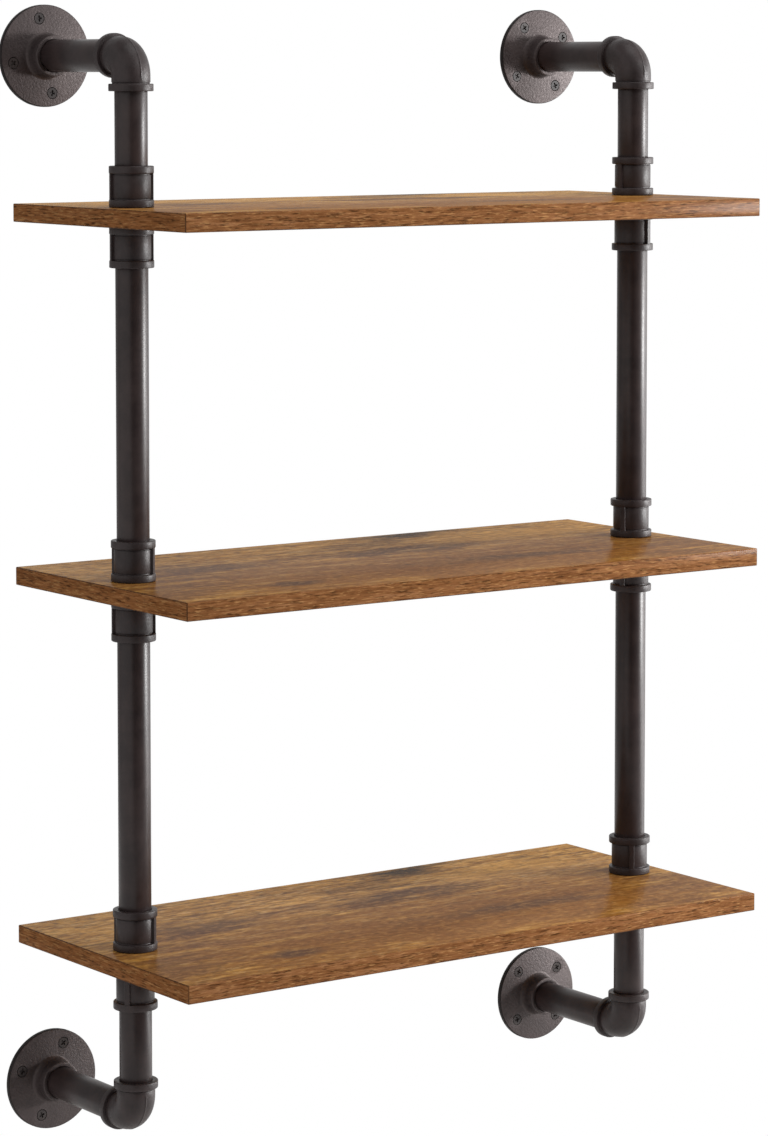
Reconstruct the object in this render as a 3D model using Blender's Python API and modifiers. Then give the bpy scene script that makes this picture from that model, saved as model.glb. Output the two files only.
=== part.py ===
"""Wall shelf: three boards carried by two pipe uprights on four wall flanges.

Metres, +Z up, front towards -Y. The origin lies on the wall, midway between
the four flanges. Every piece is its own closed solid.
"""

import math

import bmesh
import bpy

# Boards
SHELF_NAMES = ("top", "middle", "bottom")
SHELF_LENGTH = 0.600
SHELF_DEPTH = 0.272
SHELF_THICKNESS = 0.0155
SHELF_PITCH = 0.3105  # from one board's top face to the next one's
SHELF_EDGE = 0.0008  # bevel on a board's edges

# Where the pipes stand
UPRIGHT_INSET = 0.034  # from a board's end to the pipe's axis
WALL_GAP = 0.006  # from a board's back edge to the wall
ARM_RISE = 0.125  # from the outer face of an end board to the arm's axis

# Pipe
PIPE_OD = 0.0275
PIPE_WALL = 0.0026
THREAD_ENGAGEMENT = 0.011  # how far a pipe end goes into a fitting

# Beaded fittings: couplings and elbows
FITTING_WALL = 0.0021
BEAD_PROJECTION = 0.0025  # how far a bead stands out from the fitting's body
BEAD_HEIGHT = 0.0062
COUPLING_MIDDLE = 0.0120  # between the two pipe ends inside a coupling
RIB_WIDTH = 0.0040
RIB_PROJECTION = 0.0016
ELBOW_INNER_RADIUS = 0.0007  # inside corner of the bend
ELBOW_LEDGE = 0.0015  # from a pipe's end in an elbow to the start of the bend

# Wall flanges
FLANGE_OD = 0.087
FLANGE_PLATE = 0.0046
HUB_HEIGHT = 0.015  # above the plate's face
HUB_WALL = 0.0035
HUB_FLARE = 0.0035  # how far the hub's foot spreads beyond its lip
HUB_FLARE_HEIGHT = 0.0075
HUB_LIP_ROUND = 0.0008

# Flange screws
SCREW_HEAD_OD = 0.0090
SCREW_HEAD_RIM = 0.0003
SCREW_SHANK_OD = 0.0044
SCREW_LENGTH = 0.016
SCREW_POINT = 0.004
SCREWS_PER_FLANGE = 4
RECESS_WIDTH = 0.0011
RECESS_SPAN = 0.0052
RECESS_DEPTH = 0.0014

# Clearances
SEAT_GAP = 0.0003  # between faces that bear on each other
THREAD_GAP = 0.0003  # radial, between a pipe and its socket
BOARD_HOLE_GAP = 0.0010  # radial, between a through nipple and its board
SCREW_HOLE_GAP = 0.0004  # radial, between a screw and its flange

# Degrees that each fitting stops at when its thread pulls up tight: flanges
# counterclockwise seen from the front, and the ribs of the coupling above and
# the one below each board counterclockwise seen from above.
FLANGE_TURNS = {
    ("left", "upper"): 11,
    ("left", "lower"): -20,
    ("right", "upper"): 34,
    ("right", "lower"): 43,
}
RIB_TURNS = {
    ("left", "top"): (-20, -17),
    ("left", "middle"): (-50, -25),
    ("left", "bottom"): (-54, 35),
    ("right", "top"): (10, -73),
    ("right", "middle"): (26, 25),
    ("right", "bottom"): (58, -70),
}

# Facets of round shapes
ROUND_SEGMENTS = 18
FLANGE_SEGMENTS = 32
SCREW_SEGMENTS = 8
BEND_STEPS = 6
FLARE_STEPS = 3

# Sizes worked out from the ones above
PIPE_R = PIPE_OD / 2
PIPE_BORE_R = PIPE_R - PIPE_WALL
SOCKET_R = PIPE_R + THREAD_GAP
BODY_R = SOCKET_R + FITTING_WALL
BEAD_R = BODY_R + BEAD_PROJECTION
COUPLING_LENGTH = 2 * THREAD_ENGAGEMENT + COUPLING_MIDDLE
BEND_R = BODY_R + ELBOW_INNER_RADIUS
ELBOW_REACH = BEND_R + ELBOW_LEDGE + THREAD_ENGAGEMENT
FLANGE_R = FLANGE_OD / 2
HUB_LIP_R = SOCKET_R + HUB_WALL
HUB_FOOT_R = HUB_LIP_R + HUB_FLARE
FLANGE_HEIGHT = FLANGE_PLATE + HUB_HEIGHT
SCREW_CIRCLE_R = (HUB_FOOT_R + FLANGE_R) / 2
SCREW_HEAD_R = SCREW_HEAD_OD / 2
SCREW_SHANK_R = SCREW_SHANK_OD / 2
UPRIGHT_X = SHELF_LENGTH / 2 - UPRIGHT_INSET
UPRIGHT_Y = -(SHELF_DEPTH / 2 + WALL_GAP)
BOARDS_SPAN = SHELF_PITCH * (len(SHELF_NAMES) - 1) + SHELF_THICKNESS
ARM_Z = BOARDS_SPAN / 2 + ARM_RISE
COUPLED_PIPE_FOOT = SEAT_GAP + COUPLING_LENGTH - THREAD_ENGAGEMENT  # pipe end above a board
RISER_LENGTH = ARM_RISE - ELBOW_REACH + THREAD_ENGAGEMENT - COUPLED_PIPE_FOOT
LONG_PIPE_LENGTH = SHELF_PITCH - SHELF_THICKNESS - 2 * COUPLED_PIPE_FOOT
NIPPLE_LENGTH = SHELF_THICKNESS + 2 * (SEAT_GAP + THREAD_ENGAGEMENT)
ARM_LENGTH = -UPRIGHT_Y - FLANGE_HEIGHT - ELBOW_REACH + 2 * THREAD_ENGAGEMENT
CUT_MARGIN = SHELF_THICKNESS  # how far a cutter runs past the face it cuts

PARTS = "wall_shelf"
CUTTERS = "wall_shelf_cutters"


def around(radius, segments):
    """Corner radius of a faceted hole whose flats lie at this radius."""
    return radius / math.cos(math.pi / segments)


def linear(srgb):
    """One channel of an sRGB colour, as a linear value."""
    return srgb / 12.92 if srgb <= 0.04045 else ((srgb + 0.055) / 1.055) ** 2.4


def finish(name, hex_colour, roughness, metallic):
    """A plain Principled material in one colour."""
    channels = [linear(int(hex_colour[i : i + 2], 16) / 255) for i in (0, 2, 4)]
    material = bpy.data.materials.new(name)
    material.use_nodes = True
    shader = material.node_tree.nodes["Principled BSDF"]
    shader.inputs["Base Color"].default_value = (*channels, 1.0)
    shader.inputs["Roughness"].default_value = roughness
    shader.inputs["Metallic"].default_value = metallic
    return material


def linked(name, data, collection):
    """A new object in one of the two collections."""
    piece = bpy.data.objects.new(name, data)
    bpy.data.collections[collection].objects.link(piece)
    return piece


def place(name, mesh, parent, location, rotation=(0, 0, 0)):
    """One piece of the shelf, sharing its mesh with its twins; the rotation is in degrees."""
    piece = linked(name, mesh, PARTS)
    piece.parent = parent
    piece.location = location
    piece.rotation_euler = [math.radians(angle) for angle in rotation]
    return piece


def box(name, size, collection):
    """A box about the origin, from a cube primitive."""
    shape = bmesh.new()
    bmesh.ops.create_cube(shape, size=1.0)
    bmesh.ops.scale(shape, vec=size, verts=shape.verts)
    mesh = bpy.data.meshes.new(name)
    shape.to_mesh(mesh)
    shape.free()
    return linked(name, mesh, collection)


def turned(name, profile, segments, ring=True):
    """A shape turned about Z from (radius, height) points, listed down its outer side."""
    edges = [(i, i + 1) for i in range(len(profile) - 1)]
    if ring:
        edges.append((len(profile) - 1, 0))
    mesh = bpy.data.meshes.new(name)
    mesh.from_pydata([(radius, 0, height) for radius, height in profile], edges, [])
    piece = linked(name, mesh, CUTTERS)
    turn = piece.modifiers.new("Turn", "SCREW")
    turn.axis = "Z"
    turn.steps = segments
    turn.render_steps = segments
    turn.use_merge_vertices = True
    turn.merge_threshold = 0.00001
    return piece


def swept(name, stations):
    """A round bar through (point, radius) stations in the XY plane, as a closed mesh."""
    curve = bpy.data.curves.new(name, "CURVE")
    curve.dimensions = "3D"
    curve.twist_mode = "Z_UP"
    curve.bevel_depth = 1.0
    curve.bevel_resolution = ROUND_SEGMENTS // 2 - 2
    curve.use_fill_caps = True
    spline = curve.splines.new("POLY")
    spline.points.add(len(stations) - 1)
    for point, (position, radius) in zip(spline.points, stations):
        point.co = (*position, 1.0)
        point.radius = radius
    mesh = baked(linked(name, curve, CUTTERS))
    shape = bmesh.new()
    shape.from_mesh(mesh)
    bmesh.ops.remove_doubles(shape, verts=shape.verts, dist=0.00001)
    bmesh.ops.recalc_face_normals(shape, faces=shape.faces)
    shape.to_mesh(mesh)
    shape.free()
    return linked(name, mesh, CUTTERS)


def combine(target, tool, operation):
    """Cut a tool out of a shape, or join it on."""
    tool.hide_render = True
    tool.display_type = "WIRE"
    modifier = target.modifiers.new(tool.name, "BOOLEAN")
    modifier.operation = operation
    modifier.solver = "EXACT"
    modifier.object = tool


def baked(piece):
    """An object's mesh with its modifiers applied; the object and its tools are removed."""
    bpy.context.view_layer.update()
    graph = bpy.context.evaluated_depsgraph_get()
    mesh = bpy.data.meshes.new_from_object(piece.evaluated_get(graph))
    spent = [modifier.object for modifier in piece.modifiers if modifier.type == "BOOLEAN"]
    for item in (*spent, piece):
        bpy.data.objects.remove(item)
    return mesh


def shared_mesh(piece, name, material):
    """A finished mesh that several objects can share."""
    mesh = baked(piece)
    mesh.name = name
    mesh.materials.clear()
    mesh.materials.append(material)
    mesh.shade_smooth()
    mesh.set_sharp_from_angle(angle=math.radians(35))
    return mesh


def pipe_mesh(name, length, material):
    """A pipe standing on the origin."""
    profile = [(PIPE_R, length), (PIPE_R, 0), (PIPE_BORE_R, 0), (PIPE_BORE_R, length)]
    return shared_mesh(turned(name, profile, ROUND_SEGMENTS), name, material)


def coupling_mesh(material):
    """A beaded coupling with two ribs along it, standing on the origin."""
    bore_r = around(SOCKET_R, ROUND_SEGMENTS)
    lower_bead = BEAD_HEIGHT
    upper_bead = COUPLING_LENGTH - BEAD_HEIGHT
    profile = [
        (BEAD_R, COUPLING_LENGTH),
        (BEAD_R, upper_bead),
        (BODY_R, upper_bead),
        (BODY_R, lower_bead),
        (BEAD_R, lower_bead),
        (BEAD_R, 0),
        (bore_r, 0),
        (bore_r, COUPLING_LENGTH),
    ]
    body = turned("coupling_body", profile, ROUND_SEGMENTS)
    root_r = (BODY_R + bore_r) / 2
    crest_r = BODY_R + RIB_PROJECTION
    rib_size = (crest_r - root_r, RIB_WIDTH, COUPLING_LENGTH - BEAD_HEIGHT)
    for name, side in (("rib_a", 1), ("rib_b", -1)):
        rib = box(name, rib_size, CUTTERS)
        rib.location = (side * (root_r + crest_r) / 2, 0, COUPLING_LENGTH / 2)
        combine(body, rib, "UNION")
    return shared_mesh(body, "coupling", material)


def bend_points():
    """Points round an elbow's bend, from the +Y socket to the +X one."""
    half_step = math.pi / 4 / BEND_STEPS
    corner_r = around(BEND_R, 4 * BEND_STEPS)
    angles = [half_step * (2 * step + 1) for step in range(BEND_STEPS)]
    return [(BEND_R - corner_r * math.cos(a), BEND_R - corner_r * math.sin(a), 0) for a in angles]


def elbow_stations(socket, bend_r):
    """Stations of a bar round the bend, from (distance, radius) pairs of its straight ends."""
    stations = [((0, distance, 0), radius) for distance, radius in socket]
    stations += [(point, bend_r) for point in bend_points()]
    stations += [((distance, 0, 0), radius) for distance, radius in reversed(socket)]
    return stations


def elbow_mesh(material):
    """An elbow about its corner point, with one socket towards +Y and one towards +X."""
    bead_edge = ELBOW_REACH - BEAD_HEIGHT
    outside = [(ELBOW_REACH, BEAD_R), (bead_edge, BEAD_R), (bead_edge - SEAT_GAP, BODY_R)]
    body = swept("elbow_body", elbow_stations(outside, BODY_R))
    bore_r = around(SOCKET_R, ROUND_SEGMENTS)
    ledge = BEND_R + ELBOW_LEDGE - SEAT_GAP
    inside = [(ELBOW_REACH + CUT_MARGIN, bore_r), (ledge, bore_r), (ledge - SEAT_GAP, PIPE_BORE_R)]
    combine(body, swept("elbow_bore", elbow_stations(inside, PIPE_BORE_R)), "DIFFERENCE")
    return shared_mesh(body, "elbow", material)


def screw_mesh(material):
    """A countersunk screw along -Z, with the face of its head on the origin."""
    cone = SCREW_HEAD_R - SCREW_SHANK_R
    profile = [
        (0, 0),
        (SCREW_HEAD_R, 0),
        (SCREW_HEAD_R, -SCREW_HEAD_RIM),
        (SCREW_SHANK_R, -SCREW_HEAD_RIM - cone),
        (SCREW_SHANK_R, -SCREW_LENGTH + SCREW_POINT),
        (0, -SCREW_LENGTH),
    ]
    screw = turned("screw_body", profile, SCREW_SEGMENTS, ring=False)
    slot_height = 2 * RECESS_DEPTH
    for name, size in (
        ("recess_a", (RECESS_SPAN, RECESS_WIDTH, slot_height)),
        ("recess_b", (RECESS_WIDTH, RECESS_SPAN, slot_height)),
    ):
        combine(screw, box(name, size, CUTTERS), "DIFFERENCE")
    return shared_mesh(screw, "screw", material)


def screw_spots():
    """Turn and place of each screw head round a flange that lies on the origin."""
    half_facet = math.pi / SCREW_SEGMENTS
    spots = []
    for number in range(SCREWS_PER_FLANGE):
        angle = 2 * math.pi * number / SCREWS_PER_FLANGE
        x = SCREW_CIRCLE_R * math.cos(angle)
        y = SCREW_CIRCLE_R * math.sin(angle)
        spots.append((angle + half_facet, (x, y, FLANGE_PLATE)))
    return spots


def screw_hole(name):
    """A cutter for one countersunk hole, with the plate's face on the origin."""
    head_r = around(SCREW_HEAD_R + SCREW_HOLE_GAP, SCREW_SEGMENTS)
    shank_r = around(SCREW_SHANK_R + SCREW_HOLE_GAP, SCREW_SEGMENTS)
    seat = -SCREW_HEAD_RIM - SEAT_GAP
    throat = seat - (SCREW_HEAD_R - SCREW_SHANK_R)
    foot = -FLANGE_PLATE - CUT_MARGIN
    profile = [
        (0, CUT_MARGIN),
        (head_r, CUT_MARGIN),
        (head_r, seat),
        (shank_r, throat),
        (shank_r, foot),
        (0, foot),
    ]
    return turned(name, profile, SCREW_SEGMENTS, ring=False)


def flange_mesh(material):
    """A flange lying on the origin with its hub along +Z."""
    bore_r = around(SOCKET_R, FLANGE_SEGMENTS)
    lip_foot = FLANGE_HEIGHT - HUB_LIP_ROUND
    profile = [(HUB_LIP_R - HUB_LIP_ROUND, FLANGE_HEIGHT), (HUB_LIP_R, lip_foot)]
    for step in range(FLARE_STEPS + 1):
        angle = math.pi / 2 * step / FLARE_STEPS
        radius = HUB_LIP_R + HUB_FLARE * (1 - math.cos(angle))
        profile.append((radius, FLANGE_PLATE + HUB_FLARE_HEIGHT * (1 - math.sin(angle))))
    profile += [(FLANGE_R, FLANGE_PLATE), (FLANGE_R, 0), (bore_r, 0), (bore_r, FLANGE_HEIGHT)]
    body = turned("flange_body", profile, FLANGE_SEGMENTS)
    for number, (turn, spot) in enumerate(screw_spots(), 1):
        hole = screw_hole(f"screw_hole_{number}")
        hole.location = spot
        hole.rotation_euler.z = turn
        combine(body, hole, "DIFFERENCE")
    return shared_mesh(body, "flange", material)


def shared_meshes():
    """The mesh of every repeated piece, by name."""
    pipe = finish("bronze_black_pipe", "3A3532", 0.42, 0.55)
    fitting = finish("bronze_black_fitting", "36312F", 0.48, 0.50)
    return {
        "arm": pipe_mesh("arm", ARM_LENGTH, pipe),
        "nipple": pipe_mesh("nipple", NIPPLE_LENGTH, pipe),
        "riser": pipe_mesh("riser", RISER_LENGTH, pipe),
        "pipe": pipe_mesh("pipe", LONG_PIPE_LENGTH, pipe),
        "coupling": coupling_mesh(fitting),
        "elbow": elbow_mesh(fitting),
        "flange": flange_mesh(finish("cast_flange", "5B5250", 0.55, 0.45)),
        "screw": screw_mesh(finish("black_screw", "2B2726", 0.45, 0.60)),
    }


def add_shelves(root, tops, sides, material):
    """The boards, each drilled for both uprights."""
    hole_r = around(PIPE_R + BOARD_HOLE_GAP, ROUND_SEGMENTS)
    reach = BOARDS_SPAN / 2 + CUT_MARGIN
    profile = [(0, reach), (hole_r, reach), (hole_r, -reach), (0, -reach)]
    drills = []
    for side, x in sides.items():
        drill = turned(f"{side}_drill", profile, ROUND_SEGMENTS, ring=False)
        drill.location = (x, UPRIGHT_Y, 0)
        drills.append(drill)
    for shelf, top in tops.items():
        board = box(f"{shelf}_shelf", (SHELF_LENGTH, SHELF_DEPTH, SHELF_THICKNESS), PARTS)
        board.data.materials.append(material)
        board.parent = root
        board.location = (0, UPRIGHT_Y, top - SHELF_THICKNESS / 2)
        bevel = board.modifiers.new("Edges", "BEVEL")
        bevel.width = SHELF_EDGE
        bevel.segments = 1
        for drill in drills:
            combine(board, drill, "DIFFERENCE")


def add_shelf_clamp(side, upright, shelf, top, meshes):
    """The through nipple of one board, and the two couplings that clamp the board on it."""
    name = f"{side}_{shelf}"
    coupling = meshes["coupling"]
    turn_above, turn_below = RIB_TURNS[side, shelf]
    foot_above = top + SEAT_GAP
    head_below = top - SHELF_THICKNESS - SEAT_GAP
    foot_below = head_below - COUPLING_LENGTH
    place(f"{name}_coupling_above", coupling, upright, (0, 0, foot_above), (0, 0, turn_above))
    place(f"{name}_coupling_below", coupling, upright, (0, 0, foot_below), (0, 0, turn_below))
    nipple_foot = head_below - THREAD_ENGAGEMENT
    place(f"{name}_through_nipple", meshes["nipple"], upright, (0, 0, nipple_foot))


def add_wall_end(side, upright, end, meshes):
    """The elbow, arm and screwed flange at the upper or lower end of one upright."""
    name = f"{side}_{end}"
    sign = 1 if end == "upper" else -1
    height = sign * ARM_Z
    arm_front = ELBOW_REACH - THREAD_ENGAGEMENT
    place(f"{name}_elbow", meshes["elbow"], upright, (0, 0, height), (0, sign * 90, 0))
    place(f"{name}_arm", meshes["arm"], upright, (0, arm_front, height), (-90, 0, 0))
    facing = (90, -FLANGE_TURNS[side, end], 0)
    flange = place(f"{name}_flange", meshes["flange"], upright, (0, -UPRIGHT_Y, height), facing)
    for number, (turn, spot) in enumerate(screw_spots(), 1):
        spin = (0, 0, math.degrees(turn))
        place(f"{name}_flange_screw_{number}", meshes["screw"], flange, spot, spin)


def add_upright(side, upright, tops, meshes):
    """One upright from its upper flange to its lower flange."""
    for end in ("upper", "lower"):
        add_wall_end(side, upright, end, meshes)
    for shelf, top in tops.items():
        add_shelf_clamp(side, upright, shelf, top, meshes)
    outer_foot = BOARDS_SPAN / 2 + COUPLED_PIPE_FOOT
    place(f"{side}_upper_riser", meshes["riser"], upright, (0, 0, outer_foot))
    place(f"{side}_lower_riser", meshes["riser"], upright, (0, 0, -outer_foot - RISER_LENGTH))
    for upper, lower in zip(SHELF_NAMES, SHELF_NAMES[1:]):
        foot = tops[lower] + COUPLED_PIPE_FOOT
        place(f"{side}_pipe_{upper}_to_{lower}", meshes["pipe"], upright, (0, 0, foot))


def main():
    """Build the whole shelf in an emptied scene."""
    for leftover in list(bpy.data.objects):
        bpy.data.objects.remove(leftover)
    for name in (PARTS, CUTTERS):
        bpy.context.scene.collection.children.link(bpy.data.collections.new(name))

    sides = {"left": -UPRIGHT_X, "right": UPRIGHT_X}
    tops = {name: BOARDS_SPAN / 2 - SHELF_PITCH * i for i, name in enumerate(SHELF_NAMES)}
    meshes = shared_meshes()
    root = linked("wall_shelf_origin", None, PARTS)
    add_shelves(root, tops, sides, finish("printed_wood_board", "8A6242", 0.45, 0.0))
    for side, x in sides.items():
        upright = linked(f"{side}_upright", None, PARTS)
        upright.parent = root
        upright.location = (x, UPRIGHT_Y, 0)
        add_upright(side, upright, tops, meshes)
    bpy.context.view_layer.update()


main()
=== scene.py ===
"""Looks of a pipe wall shelf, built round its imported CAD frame.

Three printed-wood boards hang between two uprights of bronze-black pipe. Every
node that shows is replaced by a finer piece that stands in the same place, and
every surface gets a procedural finish with patterns in real millimetres.
"""

from __future__ import annotations

import logging
import math
from collections.abc import Callable, Mapping, Sequence
from dataclasses import dataclass, replace
from enum import Enum, IntEnum, StrEnum
from itertools import product
from typing import Any

import bmesh
import bpy
from mathutils import Matrix, Vector

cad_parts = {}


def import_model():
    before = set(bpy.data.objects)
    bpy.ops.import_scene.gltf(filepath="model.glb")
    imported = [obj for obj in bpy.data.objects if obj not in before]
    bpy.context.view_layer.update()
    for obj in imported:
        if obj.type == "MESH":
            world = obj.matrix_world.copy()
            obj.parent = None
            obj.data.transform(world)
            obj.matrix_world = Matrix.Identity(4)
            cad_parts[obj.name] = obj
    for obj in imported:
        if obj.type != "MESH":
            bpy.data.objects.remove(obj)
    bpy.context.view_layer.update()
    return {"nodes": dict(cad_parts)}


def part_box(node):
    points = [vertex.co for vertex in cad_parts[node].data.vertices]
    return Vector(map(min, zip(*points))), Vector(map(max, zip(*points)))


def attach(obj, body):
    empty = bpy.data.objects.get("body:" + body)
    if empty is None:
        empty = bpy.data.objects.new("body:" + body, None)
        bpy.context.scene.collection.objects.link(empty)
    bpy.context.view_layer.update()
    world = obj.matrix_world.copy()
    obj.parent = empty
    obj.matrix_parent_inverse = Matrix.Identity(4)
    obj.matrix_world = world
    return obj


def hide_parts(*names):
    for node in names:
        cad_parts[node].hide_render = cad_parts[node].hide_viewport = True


LOG = logging.getLogger("wall_shelf")
MM = 0.001
BODY = "root"
NEAR = 0.01 * MM  # two places closer than this are the same place
QUARTER = math.pi / 2  # a quarter turn
FEW_STEPS = 2  # facets of the smallest roundings
WHITE = (1.0, 1.0, 1.0, 1.0)
VALUE_A, VALUE_B = 2, 3  # a Mix node's sockets for values
COLOUR_A, COLOUR_B, COLOUR_OUT = 6, 7, 2  # and for colours
NOISE_SPAN = (0.3, 0.7)  # levels between which nearly all of a noise lies
CLOUD_RIM = (0.2, 1.3)  # where a cloud starts to thin and where it ends, in half sizes
# Offsets, in patterns, that keep the layers of a print apart.
DRIFT_SHIFT, STREAK_SHIFT, HAIR_SHIFT = 2.3, 3.7, 7.1
MARK_SHIFT, MARK_STEP = 11.9, 5.3

Piece = bpy.types.Object
Material = bpy.types.Material
Tree = bpy.types.NodeTree
Socket = bpy.types.NodeSocket
Point = Sequence[float]
Pair = tuple[float, float]
Triple = tuple[float, float, float]
Station = tuple[float, float]  # radius and height of one ring
Inks = list[tuple[str, Socket]]  # colours, each with the mask where it covers
Inputs = Mapping[str | int, Any] | Sequence[Any]
EdgeTest = Callable[[Vector, Vector], bool]


class Side(StrEnum):
    """The two uprights, as seen from the front."""

    LEFT = "left"
    RIGHT = "right"


class End(StrEnum):
    """The two wall ends of an upright."""

    UPPER = "upper"
    LOWER = "lower"


class Shelf(StrEnum):
    """The three boards from the top down."""

    TOP = "top"
    MIDDLE = "middle"
    BOTTOM = "bottom"


class Axis(IntEnum):
    """The row's axes that a ring is drawn out along."""

    Y = 1
    Z = 2


class Grain(Enum):
    """Row axes that a wood print runs along, lies across and goes through."""

    FACE = (0, 1, 2)
    LONG_EDGE = (0, 2, 1)
    END = (1, 2, 0)


class Skin(IntEnum):
    """A board's finishes, in the order of its materials."""

    FACE = 0
    LONG_BAND = 1
    END_BAND = 2
    ARRIS = 3


class Joining(Enum):
    """How one body works on another."""

    CUT = "DIFFERENCE"
    ADD = "UNION"


class Reach(Enum):
    """What a lamp adds to: everything, or only the reflections."""

    ALL = "all"
    REFLECTION = "reflection"


def linear(colour: str) -> tuple[float, float, float, float]:
    """Turn an sRGB hex colour into linear RGBA.

    Args:
        colour: Six hex digits.

    Returns:
        Linear red, green and blue, and full alpha.
    """
    channels = [int(colour[i : i + 2], 16) / 255 for i in (0, 2, 4)]
    red, green, blue = (
        c / 12.92 if c <= 0.04045 else ((c + 0.055) / 1.055) ** 2.4 for c in channels
    )
    return red, green, blue, 1.0


def feed(tree: Tree, node: bpy.types.Node, inputs: Inputs) -> None:
    """Fill a node's sockets with values, or link them to outputs.

    Args:
        tree: The node tree that holds the node.
        node: The node to fill.
        inputs: What goes into each socket by name or number, or into the first ones in order.
    """
    for key, value in inputs.items() if isinstance(inputs, Mapping) else enumerate(inputs):
        if isinstance(value, Socket):
            tree.links.new(value, node.inputs[key])
        else:
            node.inputs[key].default_value = value


def add_node(
    tree: Tree,
    kind: str,
    inputs: Inputs = (),
    out: str | int = 0,
    stops: Sequence[tuple[float, str]] = (),
    **settings: Any,
) -> Socket:
    """Add one shader node with its settings, values and links.

    Args:
        tree: The node tree that takes the node.
        kind: The node's type name, after the part that all shader nodes share.
        inputs: What goes into its sockets.
        out: The output that is wanted.
        stops: Places and hex colours of a colour ramp.
        settings: The node's own properties.

    Returns:
        The wanted output of the new node.
    """
    node = tree.nodes.new(f"ShaderNode{kind}")
    for key, value in settings.items():
        setattr(node, key, value)
    for number, (place, colour) in enumerate(stops):
        elements = node.color_ramp.elements
        stop = elements[number] if number < len(elements) else elements.new(place)
        stop.position = place
        stop.color = linear(colour)
    feed(tree, node, inputs)
    return node.outputs[out]


def blank_material(name: str) -> tuple[Material, Tree, bpy.types.Node]:
    """Start a material that holds only a Principled shader.

    Args:
        name: The finish's name.

    Returns:
        The material, its node tree and its shader node.
    """
    material = bpy.data.materials.new(name)
    material.use_nodes = True
    return material, material.node_tree, material.node_tree.nodes["Principled BSDF"]


@dataclass(frozen=True)
class Enamel:
    """Bronze-black baked enamel: a dark satin skin with faint clouds and a fine grit.

    The paint is dielectric over metal, so it is not metallic: what shines is the
    clear surface of the paint, and the grit under it breaks that shine up.
    """

    name: str
    deep: str = "281F1F"
    pale: str = "362B2A"
    cloud_mm: float = 22.0
    cloud_levels: Pair = (0.36, 0.66)  # noise levels of the deep and the pale colour
    cloud_octaves: float = 4.0
    cloud_fade: float = 0.6  # what each octave keeps of the last one's strength
    grit_mm: float = 1.1
    grit_octaves: float = 3.0
    grit_fade: float = 0.65
    grit_depth_mm: float = 0.02
    polish: Pair = (0.31, 0.41)  # roughness at its least and most
    gloss: float = 0.3  # specular level of a satin topcoat
    ior: float = 1.5
    gloss_colour: str = "FFFFFF"  # bronze dust in the paint warms what it reflects

    def material(self) -> Material:
        """Make the material.

        Returns:
            The finished material.
        """
        material, tree, shader = blank_material(self.name)
        place = add_node(tree, "TexCoord", out="Object")
        cloud, grit = (
            add_node(
                tree,
                "TexNoise",
                {"Vector": place, "Scale": 1 / (size * MM), "Detail": octaves, "Roughness": fade},
            )
            for size, octaves, fade in (
                (self.cloud_mm, self.cloud_octaves, self.cloud_fade),
                (self.grit_mm, self.grit_octaves, self.grit_fade),
            )
        )
        stops = tuple(zip(self.cloud_levels, (self.deep, self.pale)))
        bump = {"Height": grit, "Distance": self.grit_depth_mm * MM, "Strength": 1.0}
        dressing = {
            "Base Color": add_node(tree, "ValToRGB", (cloud,), stops=stops),
            "Roughness": add_node(tree, "MapRange", (grit, *NOISE_SPAN, *self.polish)),
            "Normal": add_node(tree, "Bump", bump),
            "IOR": self.ior,
            "Specular IOR Level": self.gloss,
            "Specular Tint": linear(self.gloss_colour),
        }
        feed(tree, shader, dressing)
        return material


@dataclass(frozen=True)
class Mark:
    """One kind of mark in a wood print, such as a streak, a pore or a fleck.

    Its noise starts to show at one level and covers by its whole share at another.
    """

    colour: str
    size_mm: Triple  # along the grain, across it and through the board
    start: float
    full: float
    share: float
    octaves: float = 3.0
    over_clouds: bool = True


@dataclass(frozen=True)
class Cloud:
    """One smoky stain of a wood print, soft at its rim and long along the grain."""

    colour: str
    centre_mm: Pair  # on the row's axes along the grain and across it
    half_mm: Pair
    share: float


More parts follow.
